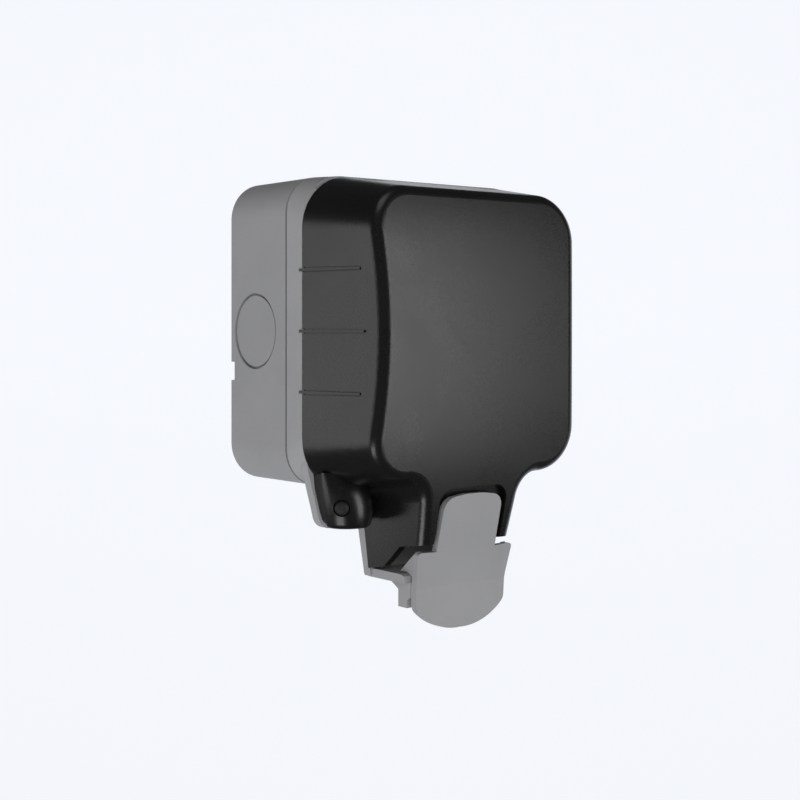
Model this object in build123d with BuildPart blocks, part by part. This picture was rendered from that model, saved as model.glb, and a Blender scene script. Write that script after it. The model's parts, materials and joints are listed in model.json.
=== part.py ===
"""Weatherproof smart socket: a wall box, a front frame with a switched 13 A outlet
and a hinged cover held shut by a pivoting latch.

Millimetres. The origin is the centre of the wall box's back face. +X is to the right seen
from the front, +Y points into the wall and +Z is up. A "depth" below is the distance in
front of the wall, so depth d is the plane Y = -d.
"""

import os

from build123d import *

os.makedirs("parts", exist_ok=True)

# Wall box
box_width = 98.0
box_height = 100.0
box_corner = 12.5
box_rim_depth = 33.3
wall = 2.5
side_knockout_radius = 12.5
end_knockout_radius = 10.0
knockout_recess = 0.3
knockout_groove_width = 0.8
knockout_groove_depth = 1.2
knockout_depth = 15.4
rear_notch_top = -10.3
rear_notch_bottom = -16.5
rear_notch_depth = 2.6
rear_notch_cut = 1.8
wall_hole_radius = 2.5
wall_hole_spacing_x = 60.3
wall_hole_spacing_z = 76.0
frame_screw_x = 39.4
frame_screw_z = 27.6
frame_screw_radius = 2.0

# Front frame
frame_rear_depth = 34.3
frame_front_depth = 42.8
frame_corner = 17.4
web_thickness = 3.0
flange_rear_depth = 39.4
outlet_opening_width = 54.6
outlet_opening_height = 68.6
outlet_opening_z = -1.0

# Cover
cover_gap = 0.2
cover_wall = 2.6
front_radius = 270.0
front_depth = 74.3
loft_depth = 76.0
cover_edge_radius = 4.0

# Lid hinge
hinge_depth = 46.6
hinge_z = 45.7
hinge_pin_radius = 1.5
knuckle_radius = 3.2
lug_inner_x = 21.4
lug_outer_x = 29.1
lug_clearance = 0.3
lug_radius = 3.3
barrel_half_length = 38.0
pin_half_length = 36.7
running_clearance = 0.05

# Latch
latch_depth = 56.4
latch_z = -85.4
latch_pin_radius = 1.2
latch_pin_half_length = 17.8
latch_thickness = 2.4
tongue_half_width = 12.35
notch_half_width = 14.2
notch_top = -49.8
sill_half_width = 21.5
sill_top = -77.4
sill_bottom = -80.2

# Cord outlet in the ear at the lower left
cord_x = -35.2
cord_radius = 3.6
hood_depth = 47.4
pip_radius = 2.4

# Outlet, to the usual 13 A pin layout
face_width = 72.0
face_height = 75.0
face_front_depth = 46.4
earth_pin_z = 17.0
line_pin_z = earth_pin_z - 22.23
line_pin_x = 11.1
button_x = 15.0
light_x = 6.0
control_z = -28.0
button_radius = 4.4
light_radius = 1.5
plate_screw_x = 30.15
housing_half_width = 27.0
housing_half_height = 34.0
housing_rear_depth = 13.0
housing_wall = 2.0
housing_screw_x = 22.4
housing_screw_z = 29.6


def at_depth(depth):
    """The plane parallel to the wall at this depth, facing the front."""
    return Plane.XZ.offset(depth)


def finish(piece, name):
    """Label a finished piece and write it."""
    piece.part.label = name
    export_step(piece.part, f"parts/{name}.step")


def rounded_block(width, height, corner, near, far, centre_z=0.0):
    """A rounded rectangle extruded from depth near to depth far."""
    with BuildPart() as block:
        with BuildSketch(at_depth(near)):
            with Locations((0, centre_z)):
                RectangleRounded(width, height, corner)
        extrude(amount=far - near)
    return block.part


def span(x_low, x_high, depth_low, depth_high, z_low, z_high):
    """A plain block between two corners, for cuts and small ribs."""
    with BuildPart() as block:
        with BuildSketch(at_depth(depth_low)):
            with Locations(((x_low + x_high) / 2, (z_low + z_high) / 2)):
                Rectangle(x_high - x_low, z_high - z_low)
        extrude(amount=depth_high - depth_low)
    return block.part


def rod(x, z, radius, near, far):
    """A round bar square to the wall, from depth near to depth far."""
    with BuildPart() as bar:
        with BuildSketch(at_depth(near)):
            with Locations((x, z)):
                Circle(radius)
        extrude(amount=far - near)
    return bar.part


def cross_bar(x_low, x_high, depth, z, radius):
    """A round bar along X, from x_low to x_high."""
    with BuildPart() as bar:
        with BuildSketch(Plane.YZ.offset(x_low)):
            with Locations((-depth, z)):
                Circle(radius)
        extrude(amount=x_high - x_low)
    return bar.part


def side_profile(points, x_low, x_high):
    """A polygon of (depth, z) points extruded along X."""
    with BuildPart() as slab:
        with BuildSketch(Plane.YZ.offset(x_low)):
            with BuildLine():
                Polyline([(-depth, z) for depth, z in points], close=True)
            make_face()
        extrude(amount=x_high - x_low)
    return slab.part


# ---------------------------------------------------------------- wall box
with BuildPart() as back_box:
    add(rounded_block(box_width, box_height, box_corner, 0, box_rim_depth))
    fillet(back_box.faces().sort_by(Axis.Y)[-1].edges(), 0.8)
    add(
        rounded_block(
            box_width - 2 * wall, box_height - 2 * wall, box_corner - wall, wall, box_rim_depth
        ),
        mode=Mode.SUBTRACT,
    )
    # Screw bosses, each tied to the side wall by a rib
    for side in (-1, 1):
        for z in (-frame_screw_z, frame_screw_z):
            add(rod(side * frame_screw_x, z, 4.2, 1.0, box_rim_depth - 1.0))
            low, high = sorted((side * frame_screw_x, side * (box_width / 2 - 1.0)))
            add(span(low, high, 1.0, box_rim_depth - 1.0, z - 1.2, z + 1.2))
    for x in (-frame_screw_x, frame_screw_x):
        for z in (-frame_screw_z, frame_screw_z):
            add(rod(x, z, frame_screw_radius, 10.0, box_rim_depth), mode=Mode.SUBTRACT)
    with BuildSketch(at_depth(0)):
        with GridLocations(wall_hole_spacing_x, wall_hole_spacing_z, 2, 2):
            Circle(wall_hole_radius)
    extrude(amount=wall, mode=Mode.SUBTRACT)
    # Knock-outs ringed by a groove: an M25 one on each side, an M20 one above and below
    for side in (-1, 1):
        for centre, outward, radius in (
            ((side * box_width / 2, -knockout_depth, 0), (side, 0, 0), side_knockout_radius),
            ((0, -knockout_depth, side * box_height / 2), (0, 0, side), end_knockout_radius),
        ):
            outer_face = Plane(centre, x_dir=(0, 1, 0), z_dir=outward)
            with BuildSketch(outer_face):
                Circle(radius)
            extrude(amount=-knockout_recess, mode=Mode.SUBTRACT)
            with BuildSketch(outer_face):
                Circle(radius)
                Circle(radius - knockout_groove_width, mode=Mode.SUBTRACT)
            extrude(amount=-knockout_groove_depth, mode=Mode.SUBTRACT)
    # Pry notches in the rear edge of both sides
    for side in (-1, 1):
        low, high = sorted((side * (box_width / 2 - rear_notch_cut), side * (box_width / 2 + 1)))
        add(
            span(low, high, -1, rear_notch_depth, rear_notch_bottom, rear_notch_top),
            mode=Mode.SUBTRACT,
        )
finish(back_box, "back_box")

# Flat seal between the box's rim and the frame
with BuildPart() as box_gasket:
    with BuildSketch(at_depth(box_rim_depth)):
        RectangleRounded(box_width - 1.2, box_height - 1.2, box_corner - 0.6)
        RectangleRounded(
            box_width - 2 * wall + 0.4, box_height - 2 * wall + 0.4, box_corner - wall + 0.2,
            mode=Mode.SUBTRACT,
        )
    extrude(amount=frame_rear_depth - box_rim_depth)
finish(box_gasket, "box_gasket")


# ---------------------------------------------------------------- front frame
def box_outline(depth, corner, inset=0.0):
    """The box's rounded rectangle, drawn in on every side by inset."""
    with BuildSketch(at_depth(depth)) as outline:
        RectangleRounded(box_width - 2 * inset, box_height - 2 * inset, corner - inset)
    return outline.sketch


# Outline of the plate that carries the ear at the lower left and the neck
flange_points = [
    (-47.0, -40.0),
    (-46.9, -43.0),
    (-45.0, -50.3),
    (-43.2, -56.8),
    (-41.6, -63.0),
    (-24.7, -63.0),
    (-22.4, -77.0),
    (-21.9, sill_bottom),
    (21.9, sill_bottom),
    (22.4, -77.0),
    (26.6, -51.5),
    (31.0, -47.0),
    (31.0, -40.0),
]
hinge_pocket_floor = 41.4

with BuildPart() as front_frame:
    loft([box_outline(frame_rear_depth, box_corner), box_outline(frame_front_depth, frame_corner)])
    with BuildSketch(at_depth(flange_rear_depth)) as flange:
        with BuildLine():
            Polyline(flange_points, close=True)
        make_face()
        fillet([v for v in flange.vertices() if v.X < -41 and v.Y < -60], 4.5)
        fillet([v for v in flange.vertices() if 26 < v.X < 27], 3.0)
        fillet([v for v in flange.vertices() if 20 < abs(v.X) < 23 and v.Y < -79], 1.0)
    extrude(amount=frame_front_depth - flange_rear_depth)
    add(
        rounded_block(
            box_width - 2 * wall,
            box_height - 2 * wall,
            box_corner - wall,
            frame_rear_depth,
            frame_front_depth - web_thickness,
        ),
        mode=Mode.SUBTRACT,
    )
    # Stiffening wall behind the neck
    add(span(-33.0, 33.0, 38.0, frame_front_depth, -50.0, -47.4))
    # Screw bosses for the outlet plate and the four frame screws
    for side in (-1, 1):
        add(rod(side * plate_screw_x, 0, 3.4, 34.5, 40.5))
        for z in (-frame_screw_z, frame_screw_z):
            add(rod(side * frame_screw_x, z, 4.2, frame_rear_depth, 40.5))
    add(
        rounded_block(
            outlet_opening_width, outlet_opening_height, 3.0, 30.0, 44.0, outlet_opening_z
        ),
        mode=Mode.SUBTRACT,
    )
    # Room behind the cover's top edge, which dips back as the cover opens
    add(span(-43.5, 43.5, hinge_pocket_floor, 44.0, 42.0, 51.0), mode=Mode.SUBTRACT)
    for side in (-1, 1):
        low, high = sorted((side * lug_inner_x, side * lug_outer_x))
        add(cross_bar(low, high, hinge_depth, hinge_z, lug_radius))
        add(span(low, high, hinge_pocket_floor - 1.0, hinge_depth, hinge_z - 3.0, hinge_z + 2.2))
        add(
            cross_bar(low - 1, high + 1, hinge_depth, hinge_z, hinge_pin_radius),
            mode=Mode.SUBTRACT,
        )
        add(rod(side * plate_screw_x, 0, 1.4, 34.0, 44.0), mode=Mode.SUBTRACT)
        for z in (-frame_screw_z, frame_screw_z):
            add(
                rod(side * frame_screw_x, z, frame_screw_radius + 0.3, 30.0, 44.0),
                mode=Mode.SUBTRACT,
            )
    # Sill below the neck, and the two brackets under it that carry the latch
    add(span(-sill_half_width, sill_half_width, 41.0, 59.6, sill_bottom, sill_top))
    add(
        side_profile(
            [(59.6, -80.0), (59.6, -60.0), (61.0, -60.0), (61.0, -80.0)], -22.0, 22.0
        ),
        mode=Mode.SUBTRACT,
    )
    for side in (-1, 1):
        low, high = sorted((side * 15.5, side * 18.6))
        add(
            side_profile(
                [
                    (47.0, -79.5),
                    (53.2, -83.0),
                    (53.2, -88.6),
                    (57.6, -88.6),
                    (57.9, -85.9),
                    (59.6, -85.0),
                    (59.6, -79.5),
                ],
                low,
                high,
            )
        )
    latch_bore = cross_bar(
        -latch_pin_half_length - 0.1, latch_pin_half_length + 0.1, latch_depth, latch_z,
        latch_pin_radius,
    )
    add(latch_bore, mode=Mode.SUBTRACT)
    # The sill's front edge is round about the latch pivot, so the latch sweeps past it
    sill_round = 8.1
    with BuildSketch(Plane.YZ.offset(-30)) as sweep_side:
        with Locations((-latch_depth, latch_z)):
            Rectangle(12.0, 12.0, align=(Align.MAX, Align.MIN))
            Circle(sill_round, mode=Mode.SUBTRACT)
    extrude(amount=60, mode=Mode.SUBTRACT)
finish(front_frame, "front_frame")


# ---------------------------------------------------------------- cover
def cover_outline(depth, top, side, waist, bottom, neck, foot, corners, inset):
    """The cover's outline at one depth: a waisted body with a neck hanging from it.

    side and waist are half widths at the corners and half way up, neck is the half width at
    the neck's top and foot the one at its bottom, and corners are the radii of the body's
    top corners, its bottom corners and the inner corners beside the neck.
    """
    neck_bottom = -84.0
    with BuildSketch(at_depth(depth)) as outline:
        with BuildLine():
            Line((0, top), (side, top))
            ThreePointArc((side, top), (waist, (top + bottom) / 2), (side, bottom))
            Polyline((side, bottom), (neck, bottom), (foot, neck_bottom), (0, neck_bottom))
            mirror(about=Plane.YZ)
        make_face()
        upper = [v for v in outline.vertices() if abs(v.X) > 1 and abs(v.Y - top) < 0.1]
        fillet(upper, corners[0])
        lower = [
            v for v in outline.vertices() if abs(abs(v.X) - side) < 0.1 and abs(v.Y - bottom) < 0.1
        ]
        fillet(lower, corners[1])
        inner = [
            v for v in outline.vertices() if abs(abs(v.X) - neck) < 0.1 and abs(v.Y - bottom) < 0.1
        ]
        fillet(inner, corners[2])
        if inset:
            offset(amount=-inset, mode=Mode.REPLACE)
    return outline.sketch


def cover_body(inset):
    """The solid between the rear and front outlines, with the curved front, all drawn in."""
    rear = frame_front_depth + cover_gap
    front = front_radius - inset
    with BuildPart() as body:
        loft(
            [
                cover_outline(rear, 49.6, 49.0, 48.99, -51.0, 26.2, 22.2, (17.4, 17.0, 6.2), inset),
                cover_outline(
                    loft_depth, 44.0, 42.9, 39.7, -45.0, 19.2, 12.6, (14.0, 13.2, 9.4), inset
                ),
            ]
        )
        with BuildSketch(Plane.YZ.offset(-60)):
            with Locations((front_radius - front_depth, 0)):
                Circle(front)
        extrude(amount=120, mode=Mode.INTERSECT)
        if not inset:
            rim = body.faces().sort_by(Axis.Y)[0].edges()
            fillet(rim, cover_edge_radius)
    return body.part


cover_rear = frame_front_depth + cover_gap
pip_plane = Plane((-35.3, -hood_depth, -55.4), x_dir=(0, 0, 1), z_dir=(-0.70, -0.71, 0))
foot_line = [(49.3, -75.9), (56.4, -68.9), (69.8, -67.2), (80.0, -67.0)]
below_foot = [(30.0, -77.1), (43.5, -77.1)] + foot_line + [(80.0, -95.0), (30.0, -95.0)]
# Line of the front of the recess floor behind the latch's tongue
recess_floor = [(67.4, -48.0), (63.2, -68.0)]
floor_thickness = 1.9
seal_top = 45.1


def hood_shell(shrink, floor):
    """The half-round cord hood on the -X ear, drawn in by shrink.

    It leans back towards its top, where it runs into the cover's lower corner.
    """
    with BuildPart() as hood:
        with BuildSketch(Plane.XY.offset(floor)) as mouth:
            with Locations((-34.9, -hood_depth)):
                Ellipse(7.5 - shrink, 7.5 - shrink)
        with BuildSketch(Plane.XY.offset(-55.5)) as belly:
            with Locations((-35.3, -hood_depth)):
                Ellipse(8.7 - shrink, 8.5 - shrink)
        with BuildSketch(Plane.XY.offset(-44.5)) as crown:
            with Locations((-38.0, -hood_depth)):
                Ellipse(7.0 - shrink, 4.4 - shrink)
        loft([mouth.sketch, belly.sketch, crown.sketch])
        if not shrink:
            fillet(hood.faces().sort_by(Axis.Z)[0].edges(), 2.0)
        add(span(-60, -20, 30, hood_depth, -80, -30), mode=Mode.SUBTRACT)
    return hood.part


def side_strip(z, end_depth, proud, deep, rear_half_height, end_half_height):
    """A thin tapering strip on the cover's -X side, from over the frame's edge to end_depth.

    It stands out from the side by proud and reaches into it by deep.
    """
    slope = (49.0 - 40.2) / (front_depth - frame_front_depth)
    start_depth = 41.9
    start_x = -49.0 - slope * 0.9 + 0.3
    end_x = -49.0 + slope * (end_depth - frame_front_depth)
    with BuildPart() as strip:
        with BuildSketch(Plane.XY.offset(z)):
            with BuildLine():
                Polyline(
                    (start_x - proud, -start_depth),
                    (end_x - proud, -end_depth),
                    (end_x + deep, -end_depth),
                    (-49.0 + deep, -cover_rear),
                    (-49.1, -cover_rear),
                    (-49.1, -start_depth),
                    close=True,
                )
            make_face()
        extrude(amount=2.0, both=True)
        taper = [
            (start_depth - 1, z - rear_half_height),
            (end_depth + 1, z - end_half_height),
            (end_depth + 1, z + end_half_height),
            (start_depth - 1, z + rear_half_height),
        ]
        add(side_profile(taper, -60, -30), mode=Mode.INTERSECT)
    return strip.part


# The pocket cut into the front for the tongue, down to its sloping floor
with BuildPart() as latch_recess:
    with BuildSketch(at_depth(50)) as recess_outline:
        with BuildLine():
            Polyline(
                (0, notch_top),
                (notch_half_width, notch_top),
                (notch_half_width - 0.6, -90.0),
                (0, -90.0),
            )
            mirror(about=Plane.YZ)
        make_face()
        fillet([v for v in recess_outline.vertices() if v.Y > -60 and abs(v.X) > 1], 5.0)
    extrude(amount=40)
    add(
        side_profile(
            recess_floor + [(57.0, -95.0), (90.0, -95.0), (90.0, -48.0)], -30, 30
        ),
        mode=Mode.INTERSECT,
    )

# The cover's outside, solid, with the foot of the neck cut to its stepped line
with BuildPart() as cover_skin:
    add(cover_body(0))
    add(side_profile(below_foot, -40, 40), mode=Mode.SUBTRACT)

# Walls that close the recess from the inside
with BuildPart() as recess_walls:
    wall_line = [(depth - floor_thickness, z) for depth, z in recess_floor]
    add(
        side_profile(
            wall_line + [(62.0, -69.0), (90.0, -69.0), (90.0, -46.6), (wall_line[0][0], -46.6)],
            -16.6,
            16.6,
        )
    )
    add(cover_skin.part, mode=Mode.INTERSECT)

# Rim that presses on the lid seal, the wall above the neck and the hinge barrel
seal_half_width = 45.4
seal_high = 40.6
seal_low = -47.8
seal_band = 2.6
with BuildPart() as cover_frame:
    with BuildSketch(at_depth(seal_top + 0.2)):
        with Locations((0, (seal_high + seal_low) / 2)):
            RectangleRounded(2 * seal_half_width, seal_high - seal_low, 14.0)
            RectangleRounded(
                2 * (seal_half_width - seal_band),
                seal_high - seal_low - 2 * seal_band,
                14.0 - seal_band,
                mode=Mode.SUBTRACT,
            )
    extrude(amount=3.2)
    add(span(-26.0, 26.0, seal_top + 0.2, 66.0, seal_low - 0.6, seal_low + 1.6))
    for x in (-14.0, 0.0, 14.0):
        add(span(x - 0.8, x + 0.8, seal_top + 0.2, 52.0, seal_high - 1.6, 48.4))
    add(cross_bar(-barrel_half_length, barrel_half_length, hinge_depth, hinge_z, knuckle_radius))
    add(cover_skin.part, mode=Mode.INTERSECT)

with BuildPart() as cover:
    add(cover_skin.part)
    add(cover_body(cover_wall), mode=Mode.SUBTRACT)
    add(recess_walls.part)
    add(cover_frame.part)
    add(latch_recess.part, mode=Mode.SUBTRACT)
    # Three ribs on each side, each with a fine groove round it
    for z, end_depth in ((19.3, 65.6), (0.0, 67.1), (-19.2, 65.6)):
        groove = side_strip(z, end_depth + 0.4, 1.5, 0.85, 0.95, 0.7)
        rib = side_strip(z, end_depth, 0.6, 1.5, 0.45, 0.28)
        add([groove, groove.mirror(Plane.YZ)], mode=Mode.SUBTRACT)
        add([rib, rib.mirror(Plane.YZ)])
    # Cord hood, open below, and the cord's way down into it from the cover's inside
    add(hood_shell(0, -62.3))
    add(hood_shell(1.9, -62.4), mode=Mode.SUBTRACT)
    add(span(-40.5, -29.5, cover_rear - 1, hood_depth + 0.1, -54.3, -47.9), mode=Mode.SUBTRACT)
    with BuildSketch(Plane.XY.offset(-56.0)):
        with Locations((cord_x, -hood_depth)):
            Circle(cord_radius + 0.3)
    extrude(amount=13.0, mode=Mode.SUBTRACT)
    # Slots for the frame's hinge lugs, the pin's bore and the eased top rear edge
    for side in (-1, 1):
        low, high = sorted(
            (side * (lug_inner_x - lug_clearance), side * (lug_outer_x + lug_clearance))
        )
        add(span(low, high, 41.0, 50.4, hinge_z - 3.8, 51.0), mode=Mode.SUBTRACT)
    bore_radius = hinge_pin_radius + running_clearance
    bore_half_length = pin_half_length + 0.2
    add(
        cross_bar(-bore_half_length, bore_half_length, hinge_depth, hinge_z, bore_radius),
        mode=Mode.SUBTRACT,
    )
    top_easing = [(42.0, 48.6), (43.0, 48.6), (44.0, 49.8), (44.0, 51.0), (42.0, 51.0)]
    add(side_profile(top_easing, -45, 45), mode=Mode.SUBTRACT)
    # Hole that the hood seal's pip shows through
    with BuildSketch(pip_plane):
        Circle(pip_radius + 0.3)
    extrude(amount=14, mode=Mode.SUBTRACT)
finish(cover, "cover")

with BuildPart() as hinge_pin:
    add(cross_bar(-pin_half_length, pin_half_length, hinge_depth, hinge_z, hinge_pin_radius))
    chamfer(hinge_pin.edges(), 0.3)
finish(hinge_pin, "hinge_pin")


# ---------------------------------------------------------------- seals
with BuildPart() as lid_seal:
    with BuildSketch(at_depth(frame_front_depth)):
        with Locations((0, (seal_high + seal_low) / 2)):
            RectangleRounded(2 * seal_half_width - 0.3, seal_high - seal_low - 0.3, 13.8)
            RectangleRounded(
                2 * (seal_half_width - seal_band) + 0.3,
                seal_high - seal_low - 2 * seal_band + 0.3,
                14.2 - seal_band,
                mode=Mode.SUBTRACT,
            )
    extrude(amount=seal_top - frame_front_depth)
    fillet(lid_seal.faces().sort_by(Axis.Y)[0].edges(), 0.5)
    # Gap for the cord's own seal
    add(span(-60.0, -27.4, 40, 50, -60.0, -44.6), mode=Mode.SUBTRACT)
finish(lid_seal, "lid_seal")

with BuildPart() as frame_cord_seal:
    with BuildSketch(at_depth(frame_front_depth)) as pad:
        with BuildLine():
            Polyline(
                (-27.6, -45.0),
                (-44.6, -45.0),
                (-44.0, -50.3),
                (-42.2, -57.0),
                (-40.6, -61.6),
                (-27.6, -61.6),
                close=True,
            )
        make_face()
        fillet([v for v in pad.vertices() if v.Y < -61 and v.X < -40], 3.0)
    extrude(amount=hood_depth - 0.2 - frame_front_depth)
    add(cover_body(-0.3), mode=Mode.SUBTRACT)
    add(span(-40.2, -29.8, frame_front_depth, hood_depth - 0.2, -54.0, -48.2))
    with BuildSketch(Plane.XY.offset(-70)):
        with Locations((cord_x, -hood_depth)):
            Circle(cord_radius)
    extrude(amount=40, mode=Mode.SUBTRACT)
finish(frame_cord_seal, "frame_cord_seal")

with BuildPart() as hood_cord_seal:
    add(hood_shell(2.2, -61.8))
    add(span(-60, 60, 30, 70, -49.6, -40), mode=Mode.SUBTRACT)
    with BuildSketch(Plane.XY.offset(-70)):
        with Locations((cord_x, -hood_depth)):
            Circle(cord_radius)
    extrude(amount=40, mode=Mode.SUBTRACT)
    # Pip that holds the seal in its hood
    with BuildSketch(pip_plane.offset(4.6)):
        Circle(pip_radius)
    extrude(amount=4.6)
    tip = hood_cord_seal.faces().sort_by(Axis(pip_plane.origin, pip_plane.z_dir))[-1]
    fillet(tip.edges(), 1.7)
finish(hood_cord_seal, "hood_cord_seal")


# ---------------------------------------------------------------- latch
# Line of the latch's front, from the tongue's tip to the bottom of the thumb plate
latch_front = [(69.7, -52.0), (65.7, -67.8), (62.5, -81.9), (62.1, -96.2)]
cheek_inner_x = 17.0
cheek_outer_x = 18.9
lug_low_x = 9.0
lug_high_x = 15.2

# Gusset that stiffens the plate, round about the pivot underneath
with BuildPart() as gusset:
    add(
        side_profile(
            [(60.6, -79.0), (62.9, -69.9), (54.6, -76.9), (56.4, -80.0)],
            cheek_inner_x,
            cheek_outer_x,
        )
    )
    add(cross_bar(-25, 25, latch_depth, latch_z, 8.5), mode=Mode.SUBTRACT)

with BuildPart() as latch:
    latch_back = [(depth - latch_thickness, z) for depth, z in reversed(latch_front)]
    add(side_profile(latch_front + latch_back, -25, 25))
    with BuildSketch(at_depth(50)) as latch_outline:
        with BuildLine():
            crown = ThreePointArc((0, -51.9), (6.0, -52.3), (tongue_half_width - 0.3, -53.6))
            Polyline(
                crown @ 1,
                (tongue_half_width, -70.4),
                (19.9, -70.1),
                (18.9, -80.0),
                (18.6, -88.6),
            )
            ThreePointArc((18.6, -88.6), (10.2, -94.4), (0, -96.1))
            mirror(about=Plane.YZ)
        make_face()
        fillet([v for v in latch_outline.vertices() if v.Y > -54 and abs(v.X) > 9], 4.6)
        fillet([v for v in latch_outline.vertices() if abs(v.Y + 88.6) < 0.1], 4.0)
        fillet([v for v in latch_outline.vertices() if abs(v.Y + 70.1) < 0.1], 1.2)
    extrude(amount=40, mode=Mode.INTERSECT)
    add([gusset.part, gusset.part.mirror(Plane.YZ)])
    for side in (-1, 1):
        low, high = sorted((side * lug_low_x, side * lug_high_x))
        add(cross_bar(low, high, latch_depth, latch_z, 2.9))
        add(span(low, high, latch_depth, 60.6, latch_z - 2.0, latch_z + 1.6))
    add(
        cross_bar(-20, 20, latch_depth, latch_z, latch_pin_radius + running_clearance),
        mode=Mode.SUBTRACT,
    )
finish(latch, "latch")

with BuildPart() as latch_pin:
    add(
        cross_bar(
            -latch_pin_half_length, latch_pin_half_length, latch_depth, latch_z, latch_pin_radius
        )
    )
    chamfer(latch_pin.edges(), 0.25)
finish(latch_pin, "latch_pin")


# ---------------------------------------------------------------- outlet
earth_slot = (4.9, 8.9)
line_slot = (7.3, 4.9)
slot_spots = (
    (0, earth_pin_z, earth_slot),
    (-line_pin_x, line_pin_z, line_slot),
    (line_pin_x, line_pin_z, line_slot),
)


def slot_cut(x, z, width, height, near, far):
    """A block that cuts one pin slot."""
    return span(x - width / 2, x + width / 2, near, far, z - height / 2, z + height / 2)


with BuildPart() as socket_face:
    add(rounded_block(face_width, face_height, 5.0, frame_front_depth, face_front_depth))
    fillet(socket_face.faces().sort_by(Axis.Y)[0].edges(), 1.0)
    for x in (-housing_screw_x, housing_screw_x):
        for z in (-housing_screw_z, housing_screw_z):
            add(rod(x, z + outlet_opening_z, 2.4, 28.0, frame_front_depth + 0.5))
            add(rod(x, z + outlet_opening_z, 1.0, 27.0, 40.0), mode=Mode.SUBTRACT)
    # Apertures for the plug's pins
    for x, z, (width, height) in slot_spots:
        add(slot_cut(x, z, width, height, 42, 47), mode=Mode.SUBTRACT)
    # Button and light holes, and countersunk holes for the two plate screws
    add(rod(button_x, control_z, button_radius + 0.15, 42, 47), mode=Mode.SUBTRACT)
    add(rod(light_x, control_z, light_radius, 42, 47), mode=Mode.SUBTRACT)
    plate_thickness = face_front_depth - frame_front_depth
    for x in (-plate_screw_x, plate_screw_x):
        with Locations(at_depth(face_front_depth).shift_origin((x, -face_front_depth, 0))):
            CounterSinkHole(1.9, 3.5, depth=plate_thickness)
finish(socket_face, "socket_face")

with BuildPart() as module_housing:
    add(
        rounded_block(
            2 * housing_half_width, 2 * housing_half_height, 3.0,
            housing_rear_depth, frame_front_depth - 0.1, outlet_opening_z,
        )
    )
    fillet(module_housing.faces().sort_by(Axis.Y)[-1].edges(), 1.0)
    add(
        rounded_block(
            2 * (housing_half_width - housing_wall), 2 * (housing_half_height - housing_wall), 2.0,
            housing_rear_depth + housing_wall, 45.0, outlet_opening_z,
        ),
        mode=Mode.SUBTRACT,
    )
    for x in (-housing_screw_x, housing_screw_x):
        for z in (-housing_screw_z, housing_screw_z):
            add(rod(x, z + outlet_opening_z, 2.4, housing_rear_depth, 27.8))
            add(rod(x, z + outlet_opening_z, 1.3, 10.0, 30.0), mode=Mode.SUBTRACT)
            add(rod(x, z + outlet_opening_z, 2.3, 10.0, 15.4), mode=Mode.SUBTRACT)
    # Ledge for the control board
    add(span(-4.0, 19.0, 31.8, 34.0, -33.4, -31.2))
    # Ways to the terminals: wires from below, screwdrivers from behind
    for x in (-14.0, 0.0, 14.0):
        add(rod(x, -24.0, 2.6, 10.0, 16.0), mode=Mode.SUBTRACT)
        with BuildSketch(Plane.XY.offset(-36.0)):
            with Locations((x, -19.5)):
                Circle(2.6)
        extrude(amount=5.0, mode=Mode.SUBTRACT)
finish(module_housing, "module_housing")


# ---------------------------------------------------------------- controls
with BuildPart() as power_button:
    add(rod(button_x, control_z, button_radius, 42.0, 47.1))
    fillet(power_button.faces().sort_by(Axis.Y)[0].edges(), 0.5)
    add(rod(button_x, control_z, 4.8, 40.7, 42.6))
finish(power_button, "power_button")

with BuildPart() as light_pipe:
    add(rod(light_x, control_z, light_radius - 0.03, 38.0, 46.7))
    fillet(light_pipe.faces().sort_by(Axis.Y)[0].edges(), 0.4)
    add(rod(light_x, control_z, 2.2, 41.4, 42.7))
finish(light_pipe, "light_pipe")

control_board_front = 35.6
with BuildPart() as control_board:
    add(span(-3.0, 19.4, 34.0, control_board_front, -32.8, -24.4))
finish(control_board, "control_board")

with BuildPart() as button_switch:
    add(span(button_x - 3, button_x + 3, control_board_front, 38.6, control_z - 3, control_z + 3))
    chamfer(button_switch.edges().filter_by(Axis.Y), 0.6)
    add(rod(button_x, control_z, 1.7, 38.0, 39.6))
finish(button_switch, "button_switch")

with BuildPart() as status_led:
    add(rod(light_x, control_z, 1.5, control_board_front, 37.7))
    fillet(status_led.faces().sort_by(Axis.Y)[0].edges(), 0.9)
    add(rod(light_x, control_z, 1.8, control_board_front, 36.2))
finish(status_led, "status_led")


# ---------------------------------------------------------------- pin shutter and contacts
carrier_floor = 34.4
shutter_front = 42.4
spring_ledge_z = -21.4

with BuildPart() as contact_carrier:
    add(span(-19.5, 19.5, carrier_floor, shutter_front, -22.8, 22.6))
    fillet(contact_carrier.edges().filter_by(Axis.Y), 2.0)
    add(span(-17.9, 17.9, carrier_floor + 1.6, 50, -21.2, 21.0), mode=Mode.SUBTRACT)
    add(span(-3.2, 3.2, carrier_floor, shutter_front, -22.4, spring_ledge_z))
    for x, z, (width, height) in slot_spots:
        add(slot_cut(x, z, width + 1.6, height + 1.6, 30, 38), mode=Mode.SUBTRACT)
finish(contact_carrier, "contact_carrier")

with BuildPart() as shutter:
    add(span(-16.5, 16.5, 39.6, shutter_front, -8.6, -1.9))
    fillet(shutter.edges().filter_by(Axis.Y), 1.0)
    add(
        side_profile(
            [(36.4, -2.5), (shutter_front, -2.5), (shutter_front, 12.4), (36.4, 18.6)], -2.3, 2.3
        )
    )
finish(shutter, "shutter")

with BuildPart() as shutter_spring:
    coil_radius = 1.15
    coil_plane = Plane((0, -41.0, spring_ledge_z + 0.3))
    with BuildLine(coil_plane) as coil:
        Helix(pitch=1.5, height=12.0, radius=coil_radius)
    with BuildSketch(Plane(coil.line @ 0, z_dir=coil.line % 0)):
        Circle(0.2)
    sweep()
finish(shutter_spring, "shutter_spring")


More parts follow.
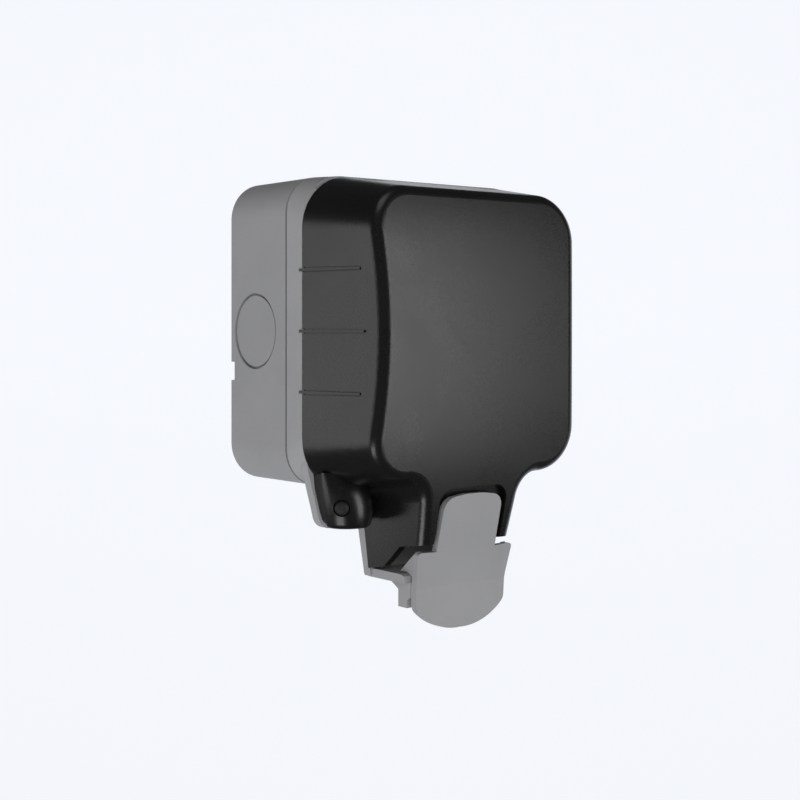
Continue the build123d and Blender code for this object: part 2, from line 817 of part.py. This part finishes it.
def terminal_bores(x):
    """Cut a pillar terminal's wire way and screw hole at this x."""
    with BuildPart() as bores:
        with BuildSketch(Plane.XY.offset(-30.0)):
            with Locations((x, -19.5)):
                Circle(2.0)
        extrude(amount=12.0)
        add(rod(x, -24.0, 1.6, 14.0, 19.5))
    return bores.part


contact_spots = (
    (line_pin_x, "live_contact"),
    (-line_pin_x, "neutral_contact"),
    (0.0, "earth_contact"),
)
for x, name in contact_spots:
    with BuildPart() as contact:
        if x:
            side = x / abs(x)
            low, high = line_pin_z - 2.65, line_pin_z + 2.65
            add(span(x - 3.3, x + 3.3, 22.3, 38.4, low, high))
            add(span(x - 4, x + 4, 23.1, 40.0, low + 0.7, high - 0.7), mode=Mode.SUBTRACT)
            add(span(x - 2.6, x + 2.6, 22.3, 23.1, -26.0, low + 0.5))
            block_x = side * 14.0
        else:
            add(span(-2.65, 2.65, 22.3, 35.6, 13.2, 20.8))
            add(span(-1.95, 1.95, 23.1, 40.0, 12.0, 22.0), mode=Mode.SUBTRACT)
            add(span(-2.6, 2.6, 22.3, 23.1, -26.0, 14.0))
            block_x = 0.0
        add(span(block_x - 3.8, block_x + 3.8, 16.0, 23.1, -28.0, -20.0))
        add(terminal_bores(block_x), mode=Mode.SUBTRACT)
    finish(contact, name)

with BuildPart() as terminal_screws:
    for x in (-14.0, 0.0, 14.0):
        add(rod(x, -24.0, 1.55, 15.0, 18.4))
        add(rod(x, -24.0, 2.2, 13.6, 15.4))
        add(span(x - 2.5, x + 2.5, 13.0, 14.2, -24.4, -23.6), mode=Mode.SUBTRACT)
finish(terminal_screws, "terminal_screws")


# ---------------------------------------------------------------- electronics
board_front = 20.2
with BuildPart() as circuit_board:
    add(span(-24.6, 24.6, 18.6, board_front, -17.5, 30.4))
    for low, high in ((-26.0, -19.6), (19.6, 26.0)):
        add(span(low, high, 15, 25, 25.8, 32.0), mode=Mode.SUBTRACT)
finish(circuit_board, "circuit_board")

with BuildPart() as relay:
    add(span(-24.0, -6.0, board_front, 34.2, 1.0, 16.0))
    fillet(relay.edges().filter_by(Axis.Y), 0.8)
    chamfer(relay.faces().sort_by(Axis.Y)[0].edges(), 0.5)
finish(relay, "relay")

with BuildPart() as transformer:
    add(span(6.5, 20.0, board_front, 22.2, 1.5, 15.0))
    add(span(8.5, 18.0, board_front, 33.0, 3.5, 13.0))
    add(span(7.0, 19.5, 30.5, 33.0, 2.0, 14.5))
finish(transformer, "transformer")

with BuildPart() as smoothing_capacitor:
    add(rod(19.0, 22.0, 4.0, board_front, 32.0))
    fillet(smoothing_capacitor.faces().sort_by(Axis.Y)[0].edges(), 0.5)
finish(smoothing_capacitor, "smoothing_capacitor")

with BuildPart() as radio_module:
    add(span(-19.0, -5.0, board_front, 21.0, 18.0, 30.0))
    add(span(-18.0, -9.0, 21.0, 23.2, 19.0, 29.0))
finish(radio_module, "radio_module")


# ---------------------------------------------------------------- screws
def cross_recess(x, z, near, far, reach):
    """The cross cut into a screw's head."""
    with BuildPart() as cross:
        add(span(x - reach, x + reach, near, far, z - 0.4, z + 0.4))
        add(span(x - 0.4, x + 0.4, near, far, z - reach, z + reach))
    return cross.part


with BuildPart() as housing_screws:
    for x in (-housing_screw_x, housing_screw_x):
        for z in (-housing_screw_z, housing_screw_z):
            add(rod(x, z + outlet_opening_z, 0.95, 15.0, 36.0))
            add(rod(x, z + outlet_opening_z, 2.1, 13.6, 15.4))
            add(cross_recess(x, z + outlet_opening_z, 13.0, 14.4, 1.3), mode=Mode.SUBTRACT)
finish(housing_screws, "housing_screws")

with BuildPart() as plate_screws:
    for x in (-plate_screw_x, plate_screw_x):
        add(rod(x, 0, 1.35, 35.2, 45.0))
        with BuildSketch(at_depth(44.7)):
            with Locations((x, 0)):
                Circle(1.7)
        with BuildSketch(at_depth(46.2)):
            with Locations((x, 0)):
                Circle(3.2)
        loft()
        add(cross_recess(x, 0, 45.2, 47.0, 1.8), mode=Mode.SUBTRACT)
finish(plate_screws, "plate_screws")

with BuildPart() as frame_screws:
    for x in (-frame_screw_x, frame_screw_x):
        for z in (-frame_screw_z, frame_screw_z):
            add(rod(x, z, 3.1, frame_front_depth, 45.0))
    fillet(frame_screws.faces().group_by(Axis.Y)[0].edges(), 0.8)
    for x in (-frame_screw_x, frame_screw_x):
        for z in (-frame_screw_z, frame_screw_z):
            add(rod(x, z, frame_screw_radius - 0.05, 12.0, frame_front_depth + 0.5))
            add(cross_recess(x, z, 44.0, 46.0, 1.9), mode=Mode.SUBTRACT)
finish(frame_screws, "frame_screws")
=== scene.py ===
"""The looks of the weatherproof smart socket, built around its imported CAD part.

Metres. +X is to the right seen from the front, +Y points into the wall and +Z is up.
"""

import json
import math

import bpy
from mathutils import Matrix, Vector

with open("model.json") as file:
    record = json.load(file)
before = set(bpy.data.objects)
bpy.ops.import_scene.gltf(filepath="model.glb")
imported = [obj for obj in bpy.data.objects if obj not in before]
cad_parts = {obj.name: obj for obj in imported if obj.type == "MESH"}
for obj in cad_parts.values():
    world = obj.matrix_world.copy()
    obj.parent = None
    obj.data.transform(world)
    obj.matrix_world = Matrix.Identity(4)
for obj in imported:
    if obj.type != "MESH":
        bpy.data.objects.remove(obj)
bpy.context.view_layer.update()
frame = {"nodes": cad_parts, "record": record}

nodes = frame["nodes"]


# ---------------------------------------------------------------- node graph helpers
class Graph:
    """A material's node graph, with one short call for each node it needs."""

    def __init__(self, name):
        self.material = bpy.data.materials.new(name)
        self.material.use_nodes = True
        self.tree = self.material.node_tree
        self.shader = self.tree.nodes["Principled BSDF"]
        self.place = self.tree.nodes.new("ShaderNodeTexCoord").outputs["Object"]

    def put(self, socket, value):
        """Link an output to a socket, or set the socket's own value."""
        if isinstance(value, bpy.types.NodeSocket):
            self.tree.links.new(value, socket)
        else:
            socket.default_value = value

    def node(self, kind, **settings):
        made = self.tree.nodes.new(kind)
        for key, value in settings.items():
            setattr(made, key, value)
        return made

    def noise(self, cells_per_metre, detail=2.0, roughness=0.5, stretch=None, distortion=0.0):
        """Noise with this many cells to the metre, from 0 to 1."""
        texture = self.node("ShaderNodeTexNoise")
        texture.inputs["Scale"].default_value = cells_per_metre
        texture.inputs["Detail"].default_value = detail
        texture.inputs["Roughness"].default_value = roughness
        texture.inputs["Distortion"].default_value = distortion
        self.put(texture.inputs["Vector"], self.stretched(stretch) if stretch else self.place)
        return texture.outputs["Fac"]

    def stretched(self, factors):
        """The object's coordinates, scaled by these factors along X, Y and Z."""
        mapping = self.node("ShaderNodeMapping")
        mapping.inputs["Scale"].default_value = factors
        self.put(mapping.inputs["Vector"], self.place)
        return mapping.outputs["Vector"]

    def cells(self, cells_per_metre):
        """The distance to the nearest of scattered points, in cells."""
        texture = self.node("ShaderNodeTexVoronoi")
        texture.inputs["Scale"].default_value = cells_per_metre
        self.put(texture.inputs["Vector"], self.place)
        return texture.outputs["Distance"]

    def remap(self, value, low, high, out_low, out_high):
        """A value from low to high carried over to out_low to out_high, held at both ends."""
        made = self.node("ShaderNodeMapRange")
        self.put(made.inputs["Value"], value)
        made.inputs["From Min"].default_value = low
        made.inputs["From Max"].default_value = high
        made.inputs["To Min"].default_value = out_low
        made.inputs["To Max"].default_value = out_high
        return made.outputs["Result"]

    def maths(self, operation, first, second=0.0):
        made = self.node("ShaderNodeMath", operation=operation)
        self.put(made.inputs[0], first)
        self.put(made.inputs[1], second)
        return made.outputs["Value"]

    def mix(self, share, first, second):
        """Two colours mixed; share is the part of the second."""
        made = self.node("ShaderNodeMix", data_type="RGBA")
        self.put(made.inputs["Factor"], share)
        self.put(made.inputs["A"], first)
        self.put(made.inputs["B"], second)
        return made.outputs["Result"]

    def bump(self, height, depth_m, strength, over=None):
        """A normal for a relief this deep, laid over another normal if one is given."""
        made = self.node("ShaderNodeBump")
        made.inputs["Strength"].default_value = strength
        made.inputs["Distance"].default_value = depth_m
        self.put(made.inputs["Height"], height)
        if over is not None:
            self.put(made.inputs["Normal"], over)
        return made.outputs["Normal"]

    def finish(self, **sockets):
        """Set the shader's sockets, named with underscores, and return the material."""
        for key, value in sockets.items():
            self.put(self.shader.inputs[key.replace("_", " ")], value)
        return self.material


def shade(colour, factor):
    """The colour made lighter or darker, with full alpha."""
    return (*[min(1.0, part * factor) for part in colour], 1.0)


def moulded(name, colour, roughness, grain=2600, depth=0.00002, spread=0.05, **sockets):
    """Moulded plastic: a fine spark-eroded grain, faint flow mottling and a few specks."""
    g = Graph(name)
    flow = g.noise(38, detail=3.0, distortion=0.6)
    speck = g.noise(grain, detail=3.0, roughness=0.65)
    flow_share = g.remap(flow, 0.3, 0.7, 0.0, 1.0)
    tone = g.mix(flow_share, shade(colour, 1 - spread), shade(colour, 1 + spread))
    grainy = g.mix(g.remap(speck, 0.35, 0.65, 0.0, 0.35), tone, shade(colour, 1 - 2.5 * spread))
    dull = g.maths(
        "ADD",
        g.remap(flow, 0.3, 0.7, roughness - 0.025, roughness + 0.025),
        g.remap(speck, 0.3, 0.7, -0.03, 0.03),
    )
    fine = g.bump(speck, depth, 0.6)
    broad = g.bump(g.noise(420, detail=2.0), depth * 0.8, 0.25, over=fine)
    return g.finish(Base_Color=grainy, Roughness=dull, Normal=broad, **sockets)


def rubbery(name, colour):
    """Soft seal rubber: matte, with a dusty bloom and a faint skin."""
    g = Graph(name)
    bloom = g.noise(160, detail=4.0, roughness=0.6)
    skin = g.noise(1900, detail=2.0)
    tone = g.mix(g.remap(bloom, 0.45, 0.75, 0.0, 0.6), shade(colour, 0.85), shade(colour, 1.9))
    return g.finish(
        Base_Color=tone,
        Roughness=g.remap(bloom, 0.3, 0.7, 0.52, 0.68),
        Normal=g.bump(skin, 0.000025, 0.5),
        Specular_IOR_Level=0.35,
    )


def metal(name, colour, roughness, streak=(1.0, 14.0, 1.0), depth=0.000006):
    """Drawn or stamped metal: streaks one way, small stains and scratches."""
    g = Graph(name)
    drawn = g.noise(900, detail=4.0, stretch=streak)
    stain = g.noise(130, detail=4.0, distortion=1.0)
    tone = g.mix(g.remap(stain, 0.4, 0.7, 0.0, 1.0), shade(colour, 1.0), shade(colour, 0.78))
    dull = g.maths(
        "ADD",
        g.remap(drawn, 0.3, 0.7, roughness - 0.06, roughness + 0.08),
        g.remap(stain, 0.45, 0.7, 0.0, 0.08),
    )
    return g.finish(
        Base_Color=tone, Metallic=1.0, Roughness=dull, Normal=g.bump(drawn, depth, 0.5)
    )


def board(name):
    """Lacquered circuit board: copper tracks under green lacquer and round pads."""
    g = Graph(name)
    tracks = g.node("ShaderNodeTexBrick", offset=0.37, squash=0.6)
    tracks.inputs["Scale"].default_value = 220
    tracks.inputs["Mortar Size"].default_value = 0.035
    tracks.inputs["Mortar Smooth"].default_value = 0.2
    turned = g.node("ShaderNodeMapping")
    turned.inputs["Rotation"].default_value = (math.radians(90), 0, 0)
    g.put(turned.inputs["Vector"], g.place)
    g.put(tracks.inputs["Vector"], turned.outputs["Vector"])
    pads = g.remap(g.cells(420), 0.18, 0.24, 1.0, 0.0)
    lacquer = g.mix(tracks.outputs["Fac"], (0.012, 0.1, 0.035, 1), (0.03, 0.2, 0.07, 1))
    weave = g.noise(3200, detail=1.0)
    tone = g.mix(pads, lacquer, (0.55, 0.55, 0.5, 1))
    ridge = g.bump(tracks.outputs["Fac"], 0.00003, 0.4)
    return g.finish(
        Base_Color=tone,
        Roughness=g.remap(weave, 0.3, 0.7, 0.22, 0.36),
        Normal=g.bump(pads, 0.00004, 0.5, over=ridge),
        Specular_IOR_Level=0.55,
    )


def banded(name, colour, band, centre_z, half_width, roughness):
    """A body with one paler band round it, half_width above and below centre_z."""
    g = Graph(name)
    split = g.node("ShaderNodeSeparateXYZ")
    g.put(split.inputs["Vector"], g.place)
    away = g.maths("ABSOLUTE", g.maths("SUBTRACT", split.outputs["Z"], centre_z))
    stripe = g.remap(away, half_width, half_width * 1.06, 1.0, 0.0)
    scuff = g.noise(300, detail=3.0)
    tone = g.mix(stripe, shade(colour, 1.0), shade(band, 1.0))
    return g.finish(
        Base_Color=tone,
        Roughness=g.remap(scuff, 0.3, 0.7, roughness, roughness + 0.15),
        Normal=g.bump(scuff, 0.00002, 0.3),
    )


# Heights of the band on the transformer (its winding) and on the capacitor's sleeve
winding_z = 0.00825
winding_half_height = 0.0028
sleeve_band_z = 0.022
sleeve_band_half_height = 0.0008

looks = {
    "box_grey": moulded("box_grey", (0.235, 0.235, 0.237), 0.56, Specular_IOR_Level=0.4),
    "frame_grey": moulded("frame_grey", (0.252, 0.252, 0.254), 0.54, Specular_IOR_Level=0.4),
    "latch_grey": moulded("latch_grey", (0.232, 0.232, 0.234), 0.5, Specular_IOR_Level=0.4),
    "cover_black": moulded(
        "cover_black", (0.004, 0.004, 0.0042), 0.29, grain=3000, depth=0.000008, spread=0.08
    ),
    "seal_black": rubbery("seal_black", (0.012, 0.012, 0.013)),
    "face_white": moulded("face_white", (0.78, 0.78, 0.76), 0.22, depth=0.000004, spread=0.015),
    "button_grey": moulded("button_grey", (0.2, 0.21, 0.22), 0.3, depth=0.000006),
    "housing_dark": moulded("housing_dark", (0.03, 0.03, 0.034), 0.5),
    "light_clear": moulded("light_clear", (0.6, 0.75, 0.85), 0.12, depth=0.000002, spread=0.02),
    "shutter_white": moulded("shutter_white", (0.62, 0.61, 0.56), 0.42, spread=0.03),
    "contact_brass": metal("contact_brass", (0.72, 0.5, 0.2), 0.28),
    "screw_steel": metal("screw_steel", (0.58, 0.58, 0.57), 0.3, streak=(6.0, 1.0, 6.0)),
    "spring_steel": metal("spring_steel", (0.5, 0.5, 0.51), 0.25),
    "board_green": board("board_green"),
    "relay_blue": moulded("relay_blue", (0.02, 0.09, 0.36), 0.3, depth=0.000008),
    "transformer_dark": banded(
        "transformer_dark",
        (0.03, 0.028, 0.026),
        (0.55, 0.42, 0.06),
        winding_z,
        winding_half_height,
        0.35,
    ),
    "capacitor_sleeve": banded(
        "capacitor_sleeve",
        (0.012, 0.014, 0.03),
        (0.4, 0.42, 0.42),
        sleeve_band_z,
        sleeve_band_half_height,
        0.2,
    ),
    "module_can": metal("module_can", (0.66, 0.67, 0.68), 0.33, streak=(1.0, 1.0, 5.0)),
    "switch_black": moulded("switch_black", (0.015, 0.015, 0.016), 0.4),
}

slot_of = {part["node"]: part["material_slot"] for part in frame["record"]["subparts"]}
for name, piece in nodes.items():
    piece.data.materials.clear()
    piece.data.materials.append(looks[slot_of[name]])


# ---------------------------------------------------------------- floor, light and camera
view_turn = math.radians(-38.03)
daylight = (0.93, 0.95, 1.0, 1.0)
middle = (0, -0.035, -0.02)


def stage_material():
    """Pale studio paper that glows a little, so the ground behind the object stays white."""
    g = Graph("studio_paper")
    fibre = g.noise(240, detail=4.0)
    return g.finish(
        Base_Color=g.mix(fibre, (0.16, 0.165, 0.17, 1), (0.18, 0.185, 0.19, 1)),
        Roughness=0.9,
        Emission_Color=daylight,
        Emission_Strength=0.88,
    )


def sheet(name, vertices, faces):
    """A staged mesh of studio paper, turned to stand square to the camera."""
    mesh = bpy.data.meshes.new(name)
    mesh.from_pydata(vertices, [], faces)
    mesh.shade_smooth()
    mesh.materials.append(stage_paper)
    made = bpy.data.objects.new(name, mesh)
    made.rotation_euler = (0, 0, view_turn)
    bpy.context.scene.collection.objects.link(made)
    return made


def paper(name, points, reach):
    """A sheet of studio paper: a profile of (along, up) points, as wide as reach on each side."""
    vertices = [(side * reach, along, up) for along, up in points for side in (-1, 1)]
    faces = [(2 * i, 2 * i + 1, 2 * i + 3, 2 * i + 2) for i in range(len(points) - 1)]
    return sheet(name, vertices, faces)


def sweep(floor_z, back, rise, reach, radius):
    """A pale floor and, past a large curve, an upright back on the far side of the object."""
    steps = 32
    turns = [math.radians(90) * step / steps for step in range(steps + 1)]
    curve = [
        (back - radius + radius * math.sin(turn), floor_z + radius * (1 - math.cos(turn)))
        for turn in turns
    ]
    floor = paper("studio_floor", [(-reach, floor_z), curve[0]], reach)
    floor.visible_glossy = False
    paper("studio_back", curve + [(back, floor_z + rise)], reach)


def surround(radius, height):
    """A pale ring of paper far outside the set; it only shows behind the object."""
    steps = 48
    turns = [math.radians(360) * step / steps for step in range(steps)]
    vertices = [
        (radius * math.cos(turn), radius * math.sin(turn), level)
        for turn in turns
        for level in (-height, height)
    ]
    count = len(vertices)
    faces = [(i, (i + 2) % count, (i + 3) % count, i + 1) for i in range(0, count, 2)]
    ring = sheet("studio_surround", vertices, faces)
    ring.visible_glossy = False
    ring.visible_diffuse = False
    ring.visible_shadow = False


stage_paper = stage_material()
sweep(floor_z=-0.9, back=1.7, rise=1.75, reach=4.0, radius=0.9)
surround(radius=7.0, height=7.0)


def area_light(name, place, size, power, glossy=True):
    """A soft box of size (wide, tall) that faces the object; without glossy it only fills."""
    data = bpy.data.lights.new(name, "AREA")
    data.shape = "RECTANGLE"
    data.size, data.size_y = size
    data.energy = power
    made = bpy.data.objects.new(name, data)
    made.location = place
    aim = Vector(middle) - Vector(place)
    made.rotation_euler = aim.to_track_quat("-Z", "Y").to_euler()
    made.visible_glossy = glossy
    bpy.context.scene.collection.objects.link(made)


area_light("left_box", (-1.15, 0.4, -0.08), (0.7, 0.85), 3.1)
area_light("right_front_box", (0.56, -1.08, -0.02), (0.5, 0.85), 4.9)
area_light("top_box", (-0.3, -0.5, 1.1), (0.7, 0.7), 2.0)
area_light("low_box", (-0.75, -0.35, -0.6), (0.5, 0.3), 2.2)
area_light("fill_box", (-0.7, -0.95, 0.25), (0.8, 0.8), 8.2, glossy=False)

world = bpy.data.worlds.new("studio_air")
world.use_nodes = True
air = world.node_tree.nodes["Background"]
air.inputs["Color"].default_value = daylight
air.inputs["Strength"].default_value = 0.06
bpy.context.scene.world = world
bpy.context.scene.view_settings.view_transform = "Standard"

camera_data = bpy.data.cameras.new("camera")
camera_data.lens = 65.71
camera_data.sensor_width = 36.0
camera_data.shift_y = -0.0872
camera_data.clip_start = 0.01
camera = bpy.data.objects.new("camera", camera_data)
camera.location = (-0.30802, -0.42417, 0.0003)
camera.rotation_euler = (math.radians(90), 0, view_turn)
bpy.context.scene.collection.objects.link(camera)
bpy.context.scene.camera = camera
